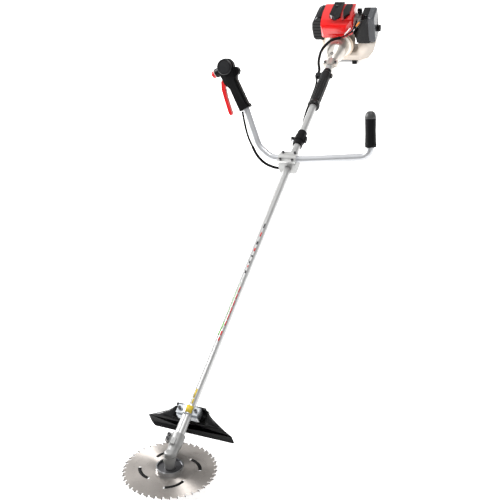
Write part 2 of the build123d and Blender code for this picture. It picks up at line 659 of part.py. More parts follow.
with BuildPart() as flywheel_fan:
    disc(shaft(HOUSING_START + 2.0), 40.0, 8.0)
    disc(shaft(HOUSING_START + 2.0), 14.0, 26.0)
    disc(shaft(HOUSING_START + 10.0), 52.0, 3.0)
    for vane in range(14):
        with BuildSketch(shaft(HOUSING_START + 12.0)):
            with Locations(Rotation(0, 0, vane * 360.0 / 14)):
                with Locations((40.0, 0.0)):
                    Rectangle(24.0, 2.0, rotation=25.0)
        extrude(amount=14.0)
    disc(shaft(HOUSING_START), SPINDLE_RADIUS, 40.0, Mode.SUBTRACT)
keep(flywheel_fan, "flywheel_fan")

CRANK_THROW = 14.0
ROD_LENGTH = 46.0
with BuildPart() as crankshaft:
    disc(shaft(HOUSING_START - 10), SPINDLE_RADIUS, CRANK_U - 6 - HOUSING_START + 10)
    disc(shaft(CRANK_U + 6), SPINDLE_RADIUS, 46.0)
    for web_u in (CRANK_U - 12, CRANK_U + 6):
        disc(shaft(web_u), 21.0, 6.0)
keep(crankshaft, "crankshaft")

with BuildPart() as crankcase:
    block((HOUSING_END, -34, -38), (CRANK_U + 26, 34, 30))
    chamfer(crankcase.edges().filter_by(Axis.X), 8.0)
    disc(shaft(CRANK_U - 14), 22.5, 28.0, Mode.SUBTRACT)
    disc(shaft(HOUSING_END - 5), SPINDLE_RADIUS + RUN_FIT, 80.0, Mode.SUBTRACT)
    disc(level(CRANK_U, 0, 0), 17.0, 40.0, Mode.SUBTRACT)
keep(crankcase, "crankcase")

PISTON_PIN = CRANK_THROW + ROD_LENGTH
with BuildPart() as cylinder:
    disc(level(CRANK_U, 0, 30), 22.0, 62.0)
    block((CRANK_U - 24, -32, 30), (CRANK_U + 24, 32, 34))
    for fin in range(8):
        block((CRANK_U - 24, -33, 40 + fin * 6.5), (CRANK_U + 33, 33, 42 + fin * 6.5))
    disc(across(CRANK_U, -36, 66), 9.0, 72.0)
    disc(level(CRANK_U, 0, 29), 17.0, 55.0, Mode.SUBTRACT)
    disc(level(CRANK_U, 0, 80), 5.0, 20.0, Mode.SUBTRACT)
    disc(across(CRANK_U, -40, 66), 6.0, 80.0, Mode.SUBTRACT)
keep(cylinder, "cylinder")

with BuildPart() as piston:
    disc(level(CRANK_U, 0, PISTON_PIN - 12), 17.0 - 0.05, 28.0)
    disc(level(CRANK_U, 0, PISTON_PIN - 13), 14.0, 24.0, Mode.SUBTRACT)
    disc(shaft(CRANK_U - 15, 0, PISTON_PIN), 4.0, 30.0)
keep(piston, "piston")

with BuildPart() as connecting_rod:
    disc(shaft(CRANK_U - 5, 0, CRANK_THROW), 9.0, 10.0)
    disc(shaft(CRANK_U - 5.9, 0, CRANK_THROW), 5.0, 11.8)
    ring(shaft(CRANK_U - 5, 0, PISTON_PIN), 7.5, 4.0 + RUN_FIT, 10.0)
    block((CRANK_U - 3, -4, CRANK_THROW + 8), (CRANK_U + 3, 4, PISTON_PIN - 6))
keep(connecting_rod, "connecting_rod")

with BuildPart() as spark_plug:
    disc(level(CRANK_U, 0, 85), 5.0, 8.0)
    with BuildSketch(level(CRANK_U, 0, 92)):
        RegularPolygon(9.0, 6)
    extrude(amount=7.0)
    disc(level(CRANK_U, 0, 99), 5.0, 9.0)
keep(spark_plug, "spark_plug")

# ---- engine covers ------------------------------------------------------------------------------------
COVER_PLAN = [(1682, 46), (1682, -34), (1706, -60), (1800, -60), (1808, -48), (1808, 46),
              (1798, 56), (1694, 56)]
COVER_SIDE = [(1682, 47), (1680, 62), (1693, 94), (1708, 108), (1740, 117), (1796, 119),
              (1808, 110), (1808, 47)]


def hood(inset):
    """Solid under the cylinder cover's outer skin, pulled in by inset."""
    with BuildPart() as body:
        with BuildSketch(level(0, 0, COVER_BOTTOM)) as plan:
            with BuildLine():
                Polyline(*COVER_PLAN, close=True)
            make_face()
            if inset:
                offset(amount=-inset, kind=Kind.INTERSECTION)
        extrude(plan.sketch, amount=90.0)
        with BuildSketch(Plane(origin=(0, -80, 0), x_dir=(1, 0, 0), z_dir=(0, -1, 0))) as side:
            with BuildLine():
                Polyline(*COVER_SIDE, close=True)
            make_face()
            if inset:
                offset(amount=-inset, kind=Kind.INTERSECTION)
        extrude(side.sketch, amount=-160.0, mode=Mode.INTERSECT)
    return body.part


with BuildPart() as cylinder_cover:
    add(hood(0.0))
    add(hood(WALL), mode=Mode.SUBTRACT)
    block((COVER_START + 10, -50, COVER_BOTTOM - 1), (COVER_END - 4, 50, COVER_BOTTOM + 4), Mode.SUBTRACT)
    block((CRANK_U - 17, 40, COVER_BOTTOM - 1), (CRANK_U + 17, 60, 84), Mode.SUBTRACT)
    block((CRANK_U - 21, -72, COVER_BOTTOM - 1), (CRANK_U + 21, -40, 88), Mode.SUBTRACT)
keep(cylinder_cover, "cylinder_cover")

with BuildPart() as plug_cap_cover:
    with BuildSketch(level(0, 0, 108.0)) as top:
        with BuildLine():
            Polyline((1700, 3), (1716, -18), (1800, -16), (1800, 22), (1716, 24), close=True)
        make_face()
        with BuildLine():
            Polyline((1705, -32), (1745, -23), (1785, -26), (1785, -50), (1728, -50), close=True)
        make_face()
    extrude(top.sketch, amount=17.0)
    add(hood(0.0), mode=Mode.SUBTRACT)
    disc(level(1764, 5, 120.0), 7.0, 8.0, Mode.SUBTRACT)
keep(plug_cap_cover, "plug_cap_cover")

with BuildPart() as muffler:
    block((CRANK_U - 38, 58, 24), (CRANK_U + 28, 88, 98))
    fillet(muffler.edges(), 6.0)
    disc(across(CRANK_U, 36, 66), 9.0, 24.0)
    disc(across(CRANK_U, 34, 66), 6.0, 30.0, Mode.SUBTRACT)
keep(muffler, "muffler")

with BuildPart() as muffler_cover:
    with BuildSketch(shaft(CRANK_U - 50)) as guard_face:
        with BuildLine():
            Polyline((59, 10), (92, 10), (101, 20), (102, 60), (98, 84), (86, 103), (72, 110),
                     (59, 110), close=True)
        make_face()
    extrude(guard_face.sketch, amount=84.0)
    chamfer(muffler_cover.faces().sort_by(Axis.X)[0].edges(), 4.0)
    block((CRANK_U - 46, 58, 14), (CRANK_U + 32, 89, 99.5), Mode.SUBTRACT)
    block((CRANK_U - 38, 88, 22), (CRANK_U + 22, 96.0, 76), Mode.SUBTRACT)
    for slot in range(4):
        block((CRANK_U - 36, 90, 26 + slot * 12), (CRANK_U + 20, 110, 31 + slot * 12),
              Mode.SUBTRACT)
    for post_z in (33.5, 57.5):
        disc(across(CRANK_U - 4, 88, post_z), 3.0, 12.0)
keep(muffler_cover, "muffler_cover")

# ---- carburettor and air cleaner ---------------------------------------------------------------------
CHOKE_Y = -76.0
CASE_LOW_U = CRANK_U - 25
CASE_HIGH_U = CRANK_U + 44
with BuildPart() as carburettor:
    disc(across(CRANK_U, -58, 66), 9.0, 22.0)
    block((CRANK_U - 18, -84, 46), (CRANK_U + 18, -56, 84))
    disc(across(CRANK_U, -88, 66), 12.0, 5.0)
    disc(across(CRANK_U, -89, 66), 6.0, 60.0, Mode.SUBTRACT)
    disc(level(CRANK_U + 8, CHOKE_Y, 84), 5.0, 4.0)
    disc(level(CRANK_U - 8, -70, 84), 4.0, 6.0)
keep(carburettor, "carburettor")

with BuildPart() as choke_knob:
    disc(level(CRANK_U + 8, CHOKE_Y, 88.3), 3.0, 4.0)
    disc(level(CRANK_U + 8, CHOKE_Y, 92.3), 9.0, 12.0)
    block((CRANK_U + 6, CHOKE_Y - 8, 104.3), (CRANK_U + 10, CHOKE_Y + 8, 110.0))
keep(choke_knob, "choke_knob")

with BuildPart() as air_cleaner_case:
    block((CASE_LOW_U, -113, -8), (CASE_HIGH_U, -88, 98))
    fillet(air_cleaner_case.edges().filter_by(Axis.Y), 12.0)
    with BuildSketch(shaft(CASE_LOW_U - 9)) as shroud:
        with BuildLine():
            Polyline((-61, 24), (-65, -8), (-72, -12), (-113, -12), (-113, 90), (-106, 97), (-96, 92),
                     (-80, 62), close=True)
        make_face()
    extrude(shroud.sketch, amount=14.0)
    block((CASE_LOW_U + WALL, -114, -8 + WALL), (CASE_HIGH_U - WALL, -88 - WALL, 98 - WALL),
          Mode.SUBTRACT)
    disc(across(CRANK_U, -94, 66), 6.0, 10.0, Mode.SUBTRACT)
keep(air_cleaner_case, "air_cleaner_case")

with BuildPart() as air_filter:
    block((CASE_LOW_U + 8, -112, 0), (CASE_HIGH_U - 8, -90.5, 88))
keep(air_filter, "air_filter")

with BuildPart() as air_cleaner_cover:
    block((CASE_LOW_U - 9, -136, -12), (CASE_HIGH_U, -113, 98))
    fillet(air_cleaner_cover.edges().filter_by(Axis.Y), 12.0)
    fillet(air_cleaner_cover.faces().sort_by(Axis.Y)[0].edges(), 8.0)
    block((CASE_LOW_U + 5, -133, 1), (CASE_HIGH_U - 9, -112, 88), Mode.SUBTRACT)
    disc(across(CRANK_U + 10, -140, 26), 3.0, 20.0, Mode.SUBTRACT)
keep(air_cleaner_cover, "air_cleaner_cover")

with BuildPart() as cleaner_knob:
    disc(across(CRANK_U + 10, -149, 26), 12.0, 12.9)
    disc(across(CRANK_U + 10, -138, 26), 3.0 - RUN_FIT, 24.0)
keep(cleaner_knob, "cleaner_knob")

# ---- recoil starter -----------------------------------------------------------------------------------
STARTER_U = 1812.0
STARTER_RADIUS = 55.0
with BuildPart() as starter_case:
    ring(shaft(CRANK_U + 26), 26.0, 23.5, STARTER_U - CRANK_U - 26)
    ring(shaft(STARTER_U), STARTER_RADIUS, 23.5, WALL)
    ring(shaft(STARTER_U), STARTER_RADIUS, STARTER_RADIUS - WALL, 34.0)
    disc(shaft(STARTER_U + 31.5), STARTER_RADIUS, WALL)
    disc(shaft(STARTER_U + 18.0), 5.0, 15.0)
    disc(level(STARTER_U + 22, 24, 30), 5.0, 40.0, Mode.SUBTRACT)
keep(starter_case, "starter_case")

with BuildPart() as starter_pulley:
    ring(shaft(STARTER_U + 17.5), 24.0, 5.0 + RUN_FIT, 10.0)
    ring(shaft(STARTER_U + 17.5), 28.0, 5.0 + RUN_FIT, 2.0)
    ring(shaft(STARTER_U + 25.5), 28.0, 5.0 + RUN_FIT, 2.0)
keep(starter_pulley, "starter_pulley")

with BuildPart() as starter_handle:
    disc(level(STARTER_U + 22, 24, 40), 1.8, 24.0)
    block((STARTER_U + 13, 2, 62), (STARTER_U + 31, 46, 76))
    fillet(starter_handle.edges().filter_by(Axis.Y), 5.0)
keep(starter_handle, "starter_handle")

# ---- fuel tank and stand ----------------------------------------------------------------------------
TANK_START = 1747.0
TANK_END = 1806.0
TANK_OUTLINE = [(84, -4), (82, -58), (58, -96), (-66, -96), (-100, -84), (-122, -56), (-134, -16),
                
                (-66, -16), (-66, -44), (-54, -60), (50, -60), (62, -46), (62, -4)]
with BuildPart() as fuel_tank:
    with BuildSketch(shaft(TANK_START)):
        with BuildLine():
            Polyline(*TANK_OUTLINE, close=True)
        make_face()
    extrude(amount=TANK_END - TANK_START)
    fillet(fuel_tank.edges().filter_by(Axis.X), 7.0)
    with BuildSketch(shaft(TANK_START + WALL)):
        with BuildLine():
            Polyline(*TANK_OUTLINE, close=True)
        make_face()
        offset(amount=-WALL - 1.5, mode=Mode.REPLACE)
    extrude(amount=TANK_END - TANK_START - 2 * WALL, mode=Mode.SUBTRACT)
    disc(shaft(TANK_END - 4, -94, -44), 10.0, 10.0, Mode.SUBTRACT)
    ring(shaft(TANK_END - 1, -94, -44), 13.0, 10.0, 8.0)
    block((TANK_START + 8, -20, -64), (TANK_START + 48, 20, -38))
keep(fuel_tank, "fuel_tank")

with BuildPart() as fuel_cap:
    disc(shaft(TANK_END + 1.5, -94, -44), 17.5, 15.0)
    disc(shaft(TANK_END, -94, -44), 13.0 + RUN_FIT, 7.5, Mode.SUBTRACT)
keep(fuel_cap, "fuel_cap")

# Ground line in the working frame: through the rear tooth tip and the middle of the stand.
REAR_TIP = BLADE_CENTRE + BACK * BLADE_RADIUS - UP * (TIP_THICK / 2)
STAND_MID = (TANK_START + TANK_END) / 2
SLOPE = (STAND_Z - REAR_TIP.Z) / (STAND_MID - REAR_TIP.X)


def ground(u):
    """Height of the ground under the shaft position u."""
    return STAND_Z + SLOPE * (u - STAND_MID)


with BuildPart() as engine_stand:
    for foot_y in (-53.0, 35.0):
        with BuildSketch(Plane(origin=(0, foot_y + 18, 0), x_dir=(1, 0, 0), z_dir=(0, -1, 0))):
            with BuildLine():
                Polyline(
                    (TANK_START, -96.0), (TANK_START - 4, ground(TANK_START - 4)),
                    (TANK_END + 8, ground(TANK_END + 8)), (TANK_END, -96.0), close=True,
                )
            make_face()
        extrude(amount=18.0)
    block((TANK_START + 4, -53, -101), (TANK_END - 4, 53, -96))
keep(engine_stand, "engine_stand")

# ---- throttle cable -----------------------------------------------------------------------------------
CABLE_STOPS = [
    tuple(GRIP_ORIGIN + OUT * 16.0 - ALONG * 3.0),
    (1099.0, 157.0, 101.0),
    (1075.0, 144.0, 67.0),
    (1046.0, 114.0, 18.0),
    (1034.0, 87.0, -4.0),
    (1034.0, 52.0, -20.0),
    (1048.0, 32.0, -31.0),
    (1080.0, 20.0, -27.0),
    (1120.0, 15.0, -26.0),
    (1215.0, 14.0, -25.0),
    (1300.0, 25.0, -17.0),
    (1470.0, 27.0, -12.0),
    (1498.0, ARM_Y, 0.0),
    (1514.0, ARM_Y, 0.0),
]
HANDLE_SLEEVE = [
    tuple((Vector(*CABLE_STOPS[2]) + Vector(*CABLE_STOPS[3])) / 2),
    *CABLE_STOPS[3:7],
    tuple((Vector(*CABLE_STOPS[6]) + Vector(*CABLE_STOPS[7])) / 2),
]
SLEEVING_STOPS = [
    (1506.0, ARM_Y, 0.0),
    (1545.0, ARM_Y + 2.0, 0.0),
    (1582.0, 46.0, 8.0),
    (1630.0, 45.0, 30.0),
    (1660.0, 12.0, 52.0),
    (1667.0, -22.0, 58.0),
]
LEAD_STOPS = [
    (1666.0, -16.0, 57.0),
    (1671.0, -38.0, 61.0),
    (1690.0, -62.0, 68.0),
    (1716.0, -68.0, 74.0),
    (1750.5, -68.0, 74.0),
]


def turn_radius(before, corner, after):
    """Largest comfortable bend radius at a corner of the cable."""
    first = Vector(*corner) - Vector(*before)
    second = Vector(*after) - Vector(*corner)
    half = radians(first.get_angle(second)) / 2
    return 0.45 * min(first.length, second.length) / tan(half)


def bends_of(stops):
    """Bend radius at each inner stop."""
    return [turn_radius(*stops[i - 1:i + 2]) for i in range(1, len(stops) - 1)]


def run(stops, radius, bends):
    """Round cord of the given radius along its stops; returns its length and bend radii."""
    with BuildLine() as path:
        FilletPolyline(*stops, radius=bends)
    with BuildSketch(Plane(origin=path.line @ 0, z_dir=path.line % 0)) as profile:
        Circle(radius)
    sweep(profile.sketch, path=path.line)
    return round(path.wire().length, 1), [round(bend, 1) for bend in bends]


with BuildPart() as throttle_cable:
    print("cable:", run(CABLE_STOPS, CABLE_RADIUS, bends_of(CABLE_STOPS)))
    print("handle sleeve:", run(HANDLE_SLEEVE, HANDLE_SLEEVE_RADIUS, bends_of(CABLE_STOPS)[2:6]))
    print("sleeving:", run(SLEEVING_STOPS, SLEEVING_RADIUS, bends_of(SLEEVING_STOPS)))
    print("lead:", run(LEAD_STOPS, LEAD_RADIUS, bends_of(LEAD_STOPS)))
keep(throttle_cable, "throttle_cable")

# ---- lay the machine on the ground and export ------------------------------------------------------------
TILT = Location((0, 0, 0), (0, degrees(atan(SLOPE)), 0))
low = [1e9, 1e9, 1e9]
high = [-1e9, -1e9, -1e9]
for piece, name in made:
    box = piece.moved(TILT).bounding_box()
    low = [min(a, b) for a, b in zip(low, tuple(box.min))]
    high = [max(a, b) for a, b in zip(high, tuple(box.max))]
SHIFT = Vector(-(low[0] + high[0]) / 2, -(low[1] + high[1]) / 2, -low[2])
REST = Location(SHIFT) * TILT
print("tilt deg:", round(degrees(atan(SLOPE)), 5), "shift mm:", tuple(SHIFT))
print("size mm:", [round(b - a, 2) for a, b in zip(low, high)])
for piece, name in made:
    placed = piece.moved(REST)
    placed.label = name
    export_step(placed, f"parts/{name}.step")
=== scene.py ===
import math

import bmesh
import bpy
from mathutils import Matrix, Vector


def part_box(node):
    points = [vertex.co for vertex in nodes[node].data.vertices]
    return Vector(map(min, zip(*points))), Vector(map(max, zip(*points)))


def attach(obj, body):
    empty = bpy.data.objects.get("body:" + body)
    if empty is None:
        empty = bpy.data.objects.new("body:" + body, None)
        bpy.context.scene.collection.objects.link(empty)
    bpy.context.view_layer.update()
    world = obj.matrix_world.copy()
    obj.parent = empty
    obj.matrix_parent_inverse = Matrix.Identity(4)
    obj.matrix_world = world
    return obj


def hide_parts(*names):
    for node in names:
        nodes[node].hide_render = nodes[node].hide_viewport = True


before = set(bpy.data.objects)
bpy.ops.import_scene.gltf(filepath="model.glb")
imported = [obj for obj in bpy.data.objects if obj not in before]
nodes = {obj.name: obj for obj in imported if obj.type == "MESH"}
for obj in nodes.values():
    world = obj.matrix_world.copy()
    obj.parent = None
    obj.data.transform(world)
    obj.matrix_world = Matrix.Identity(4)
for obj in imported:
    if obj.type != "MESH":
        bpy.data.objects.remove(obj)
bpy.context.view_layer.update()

# ---- shaft frame: millimetres along the pipe, to the operator's right, and up from the pipe ----
TILT = math.radians(-0.81752)
PIPE_MIDDLE_U = 816.0
pipe_low, pipe_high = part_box("main_pipe")
PIPE_MIDDLE = (pipe_low + pipe_high) / 2
TURN = Matrix.Rotation(TILT, 3, "Y")


def way(x, y, z):
    """A direction of the shaft frame in the row frame."""
    return TURN @ Vector((x, y, z))


def at(u, y, z):
    """A point of the shaft frame, in millimetres, in the row frame."""
    return PIPE_MIDDLE + way(u - PIPE_MIDDLE_U, y, z) / 1000.0


# ---- materials ----------------------------------------------------------------------------------
ROUGH_SPREAD = 0.08
RELIEF_DEPTH = 0.0004


def surface(name, colour, rough, metal=0.0, mottle=0.06, mottle_scale=40.0, bump=0.0,
            bump_scale=400.0, coat=0.0, shine=0.5, stretch=None):
    """A surface whose colour, roughness and relief vary a little from place to place."""
    material = bpy.data.materials.new(name)
    material.use_nodes = True
    tree = material.node_tree
    shader = tree.nodes["Principled BSDF"]
    shader.inputs["Metallic"].default_value = metal
    shader.inputs["Specular IOR Level"].default_value = shine
    shader.inputs["Coat Weight"].default_value = coat
    shader.inputs["Coat Roughness"].default_value = 0.08
    place = tree.nodes.new("ShaderNodeTexCoord")
    source = place.outputs["Object"]
    if stretch:
        mapping = tree.nodes.new("ShaderNodeMapping")
        mapping.inputs["Scale"].default_value = stretch
        tree.links.new(source, mapping.inputs["Vector"])
        source = mapping.outputs["Vector"]
    noise = tree.nodes.new("ShaderNodeTexNoise")
    noise.inputs["Scale"].default_value = mottle_scale
    noise.inputs["Detail"].default_value = 5.0
    tree.links.new(source, noise.inputs["Vector"])
    ramp = tree.nodes.new("ShaderNodeValToRGB")
    low = [max(0.0, c * (1.0 - mottle)) for c in colour]
    high = [min(1.0, c * (1.0 + mottle)) for c in colour]
    ramp.color_ramp.elements[0].position = 0.3
    ramp.color_ramp.elements[0].color = (*low, 1.0)
    ramp.color_ramp.elements[1].position = 0.7
    ramp.color_ramp.elements[1].color = (*high, 1.0)
    tree.links.new(noise.outputs["Fac"], ramp.inputs["Fac"])
    tree.links.new(ramp.outputs["Color"], shader.inputs["Base Color"])
    spread = tree.nodes.new("ShaderNodeMapRange")
    spread.inputs["To Min"].default_value = max(0.02, rough - ROUGH_SPREAD)
    spread.inputs["To Max"].default_value = min(1.0, rough + ROUGH_SPREAD)
    tree.links.new(noise.outputs["Fac"], spread.inputs["Value"])
    tree.links.new(spread.outputs["Result"], shader.inputs["Roughness"])
    if bump:
        fine = tree.nodes.new("ShaderNodeTexNoise")
        fine.inputs["Scale"].default_value = bump_scale
        fine.inputs["Detail"].default_value = 3.0
        tree.links.new(source, fine.inputs["Vector"])
        relief = tree.nodes.new("ShaderNodeBump")
        relief.inputs["Strength"].default_value = bump
        relief.inputs["Distance"].default_value = RELIEF_DEPTH
        tree.links.new(fine.outputs["Fac"], relief.inputs["Height"])
        tree.links.new(relief.outputs["Normal"], shader.inputs["Normal"])
    return material


red_shell = surface("RedShell", (0.66, 0.006, 0.006), 0.16, coat=0.8, mottle=0.06)
red_plastic = surface("RedPlastic", (0.6, 0.008, 0.01), 0.3, coat=0.3, mottle=0.06)
black_plastic = surface("BlackPlastic", (0.006, 0.006, 0.0065), 0.45, bump=0.3, bump_scale=900.0, shine=0.12)
guard_plastic = surface("GuardPlastic", (0.004, 0.004, 0.0045), 0.3, bump=0.2, bump_scale=600.0, shine=0.2)
gloss_black = surface("GlossBlack", (0.004, 0.004, 0.005), 0.18, shine=0.22, coat=0.06)
grey_plastic = surface("GreyPlastic", (0.075, 0.08, 0.088), 0.26, bump=0.2, bump_scale=900.0, shine=0.4)
cap_plastic = surface("CapPlastic", (0.014, 0.0145, 0.016), 0.34, bump=0.2, bump_scale=900.0, shine=0.3)
rubber = surface("Rubber", (0.004, 0.004, 0.0045), 0.5, bump=0.5, bump_scale=700.0, shine=0.14)
ribbed_rubber = surface("RibbedRubber", (0.006, 0.006, 0.0065), 0.34, bump=0.4, bump_scale=700.0, shine=0.3)
end_rubber = surface("EndRubber", (0.055, 0.055, 0.055), 0.4, bump=0.3, bump_scale=700.0, shine=0.35)
pipe_paint = surface("PipePaint", (0.5, 0.5, 0.495), 0.34, metal=0.6, mottle=0.03, stretch=(0.3, 6.0, 6.0))
bar_paint = surface("BarPaint", (0.58, 0.59, 0.61), 0.32, metal=0.6, mottle=0.03)
cast_metal = surface("CastMetal", (0.3, 0.3, 0.295), 0.5, metal=0.7, mottle=0.1, bump=0.5, bump_scale=600.0)
clamp_cast = surface("ClampCast", (0.36, 0.36, 0.355), 0.4, metal=0.85, mottle=0.12, bump=0.5,
                     bump_scale=500.0)
# grey cast alloy with a warm tint: painted reflection of the tank on the case flank
case_alloy_painted_reflection = surface("CaseAlloyPaintedReflection", (0.66, 0.62, 0.57), 0.36, metal=0.85, mottle=0.12, bump=0.5,
                    bump_scale=350.0)
# cast alloy tinted tan: painted reflection of the warm tank
alloy_painted_tank_reflection = surface("AlloyPaintedTankReflection", (0.52, 0.43, 0.34), 0.36, metal=0.8, mottle=0.12, bump=0.4, bump_scale=500.0)
bright_cast = surface("BrightCast", (0.56, 0.56, 0.55), 0.38, metal=0.75, mottle=0.08, bump=0.3)
cup_steel = surface("CupSteel", (0.4, 0.41, 0.42), 0.3, metal=1.0, mottle=0.1, mottle_scale=160.0)
zinc = surface("Zinc", (0.62, 0.65, 0.68), 0.3, metal=1.0, mottle=0.1, mottle_scale=160.0)
# dark steel of the bolts and screw; also painted shade for the dark ring inside the cup
dark_steel_and_shade = surface("DarkSteelAndShade", (0.12, 0.12, 0.125), 0.34, metal=0.9)
tip_steel = surface("TipSteel", (0.2, 0.195, 0.19), 0.4, metal=1.0, mottle=0.2, mottle_scale=300.0)
muffler_steel = surface("MufflerSteel", (0.14, 0.12, 0.1), 0.45, metal=0.9, mottle=0.25)
# near-black sheets for the blade's slots: painted shade for the shadow seen through them
painted_slot_shade = surface("PaintedSlotShade", (0.004, 0.004, 0.004), 0.6, mottle=0.15, shine=0.08)
tank_plastic = surface("TankPlastic", (0.78, 0.7, 0.62), 0.26, mottle=0.03, mottle_scale=12.0, coat=0.25)
white_plastic = surface("WhitePlastic", (0.82, 0.82, 0.8), 0.35, mottle=0.03)
orange_plastic = surface("OrangePlastic", (0.85, 0.27, 0.02), 0.35, mottle=0.08)
red_mark = surface("RedMark", (0.62, 0.03, 0.03), 0.35, mottle=0.12, mottle_scale=120.0)
black_mark = surface("BlackMark", (0.03, 0.03, 0.035), 0.35, mottle=0.2, mottle_scale=120.0)
green_mark = surface("GreenMark", (0.2, 0.55, 0.1), 0.35, mottle=0.12, mottle_scale=120.0)
yellow_mark = surface("YellowMark", (0.6, 0.44, 0.03), 0.35, mottle=0.08, mottle_scale=120.0)


def brushed_disc():
    """Ground saw steel: fine rings of roughness round local Z, and a grain that runs round it."""
    material = surface("BladeSteel", (0.48, 0.445, 0.415), 0.3, metal=1.0, mottle=0.05, mottle_scale=25.0)
    tree = material.node_tree
    shader = tree.nodes["Principled BSDF"]
    place = tree.nodes.new("ShaderNodeTexCoord")
    flat = tree.nodes.new("ShaderNodeVectorMath")
    flat.operation = "MULTIPLY"
    flat.inputs[1].default_value = (1.0, 1.0, 0.0)
    tree.links.new(place.outputs["Object"], flat.inputs[0])
    length = tree.nodes.new("ShaderNodeVectorMath")
    length.operation = "LENGTH"
    tree.links.new(flat.outputs["Vector"], length.inputs[0])
    rings = tree.nodes.new("ShaderNodeTexNoise")
    rings.noise_dimensions = "1D"
    rings.inputs["Scale"].default_value = 1500.0
    rings.inputs["Detail"].default_value = 4.0
    tree.links.new(length.outputs["Value"], rings.inputs["W"])
    spread = tree.nodes.new("ShaderNodeMapRange")
    spread.inputs["To Min"].default_value = 0.22
    spread.inputs["To Max"].default_value = 0.42
    tree.links.new(rings.outputs["Fac"], spread.inputs["Value"])
    tree.links.new(spread.outputs["Result"], shader.inputs["Roughness"])
    grain = tree.nodes.new("ShaderNodeTangent")
    grain.direction_type = "RADIAL"
    grain.axis = "Z"
    tree.links.new(grain.outputs["Tangent"], shader.inputs["Tangent"])
    shader.inputs["Anisotropic"].default_value = 0.86
    return material


blade_steel = brushed_disc()

for_node = {
    "saw_blade": blade_steel, "carbide_tips": tip_steel, "upper_holder": cup_steel, "lower_holder": zinc,
    "blade_bolt": zinc, "gear_case": cast_metal, "main_pipe": pipe_paint, "guard": guard_plastic,
    "guard_bracket": zinc, "guard_bracket_cap": zinc, "handle_clamp_base": clamp_cast,
    "handle_clamp_cap": bright_cast, "clamp_bolts": dark_steel_and_shade, "handlebar": bar_paint,
    "left_grip": rubber, "throttle_shell_front": black_plastic, "throttle_shell_rear": black_plastic,
    "throttle_head_cap": cap_plastic, "throttle_lever": red_plastic, "stop_button": red_plastic,
    "speed_dial": black_plastic, "hanger_clamp": black_plastic, "hanger_eye": zinc,
    "shaft_grip": ribbed_rubber, "clutch_case": case_alloy_painted_reflection, "fan_housing": alloy_painted_tank_reflection,
    "crankcase": alloy_painted_tank_reflection, "cylinder": cast_metal, "spark_plug": zinc,
    "cylinder_cover": red_shell, "plug_cap_cover": gloss_black, "muffler": muffler_steel,
    "muffler_cover": gloss_black, "carburettor": cast_metal, "choke_knob": gloss_black,
    "air_cleaner_case": gloss_black, "air_cleaner_cover": grey_plastic, "cleaner_knob": black_plastic,
    "starter_case": black_plastic, "starter_handle": black_plastic, "fuel_tank": tank_plastic,
    "fuel_cap": black_plastic, "engine_stand": black_plastic, "throttle_cable": rubber,
}
for name, thing in nodes.items():
    thing.data.materials.clear()
    thing.data.materials.append(for_node.get(name, cast_metal))


# ---- pieces in mesh code -------------------------------------------------------------------------
def piece(name, mesh, material, body, smooth=True):
    """Link one mesh object, give it its material and body."""
    thing = bpy.data.objects.new(name, mesh)
    bpy.context.scene.collection.objects.link(thing)
    mesh.materials.clear()
    mesh.materials.append(material)
    for polygon in mesh.polygons:
        polygon.use_smooth = smooth
    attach(thing, body)
    return thing


def closed_strip(shape, rows):
    """Add a closed strip to a bmesh: each row holds its four corners in order."""
    corners = [[shape.verts.new(point) for point in row] for row in rows]
    for one, two in zip(corners, corners[1:]):
        for k in range(4):
            shape.faces.new((one[k], one[(k + 1) % 4], two[(k + 1) % 4], two[k]))
    shape.faces.new(corners[0][::-1])
    shape.faces.new(corners[-1])


def mesh_of(shape, name):
    """Finish a bmesh into a mesh with outward normals."""
    bmesh.ops.recalc_face_normals(shape, faces=shape.faces)
    mesh = bpy.data.meshes.new(name)
    shape.to_mesh(mesh)
    shape.free()
    return mesh


def frame_at(origin, x_dir, z_dir):
    """Placement whose local X and Z point along two square directions of the shaft frame."""
    x_way, z_way = way(*x_dir).normalized(), way(*z_dir).normalized()
    place = Matrix((x_way, z_way.cross(x_way), z_way)).transposed().to_4x4()
    place.translation = at(*origin)
    return place


# ---- saw blade, with its grain about its own axis, and dark sheets in its four slots as painted shade ----
SPINDLE_ANGLE = math.radians(57.0)
BLADE_DROP = 29.0
SLOT_OUTER_RADIUS = 73.0
SLOT_INNER_RADIUS = 60.5
SLOT_BULGE = 1.75
SLOT_START = 18.0
SLOT_SWEEP = 41.0
SLOT_STEPS = 22
SHADE_SHEET_HALF_WIDTH = 0.0043
SHADE_SHEET_HALF_THICKNESS = 0.0006
UP = (math.cos(SPINDLE_ANGLE), 0.0, math.sin(SPINDLE_ANGLE))
BACK = (math.sin(SPINDLE_ANGLE), 0.0, -math.cos(SPINDLE_ANGLE))


def on_spindle(height):
    """Placement on the spindle's axis, at a height in millimetres from the gear centre."""
    return frame_at([height * c for c in UP], BACK, UP)


blade_place = on_spindle(-BLADE_DROP)
blade_mesh = nodes["saw_blade"].data.copy()
blade_mesh.transform(blade_place.inverted())
blade = piece("saw_blade_ground", blade_mesh, blade_steel, "blade_unit", smooth=False)
blade.matrix_world = blade_place
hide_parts("saw_blade")


def slot_line(start):
    """Centre line of one slot that opens at the angle start, as local points in metres."""
    points = []
    for step in range(SLOT_STEPS + 1):
        part = step / SLOT_STEPS
        chord = SLOT_OUTER_RADIUS * (1 - part) + SLOT_INNER_RADIUS * part
        radius = chord + 4 * SLOT_BULGE * part * (1 - part)
        angle = math.radians(start + SLOT_SWEEP * part)
        points.append(Vector((radius * math.cos(angle), radius * math.sin(angle), 0.0)) / 1000.0)
    return points


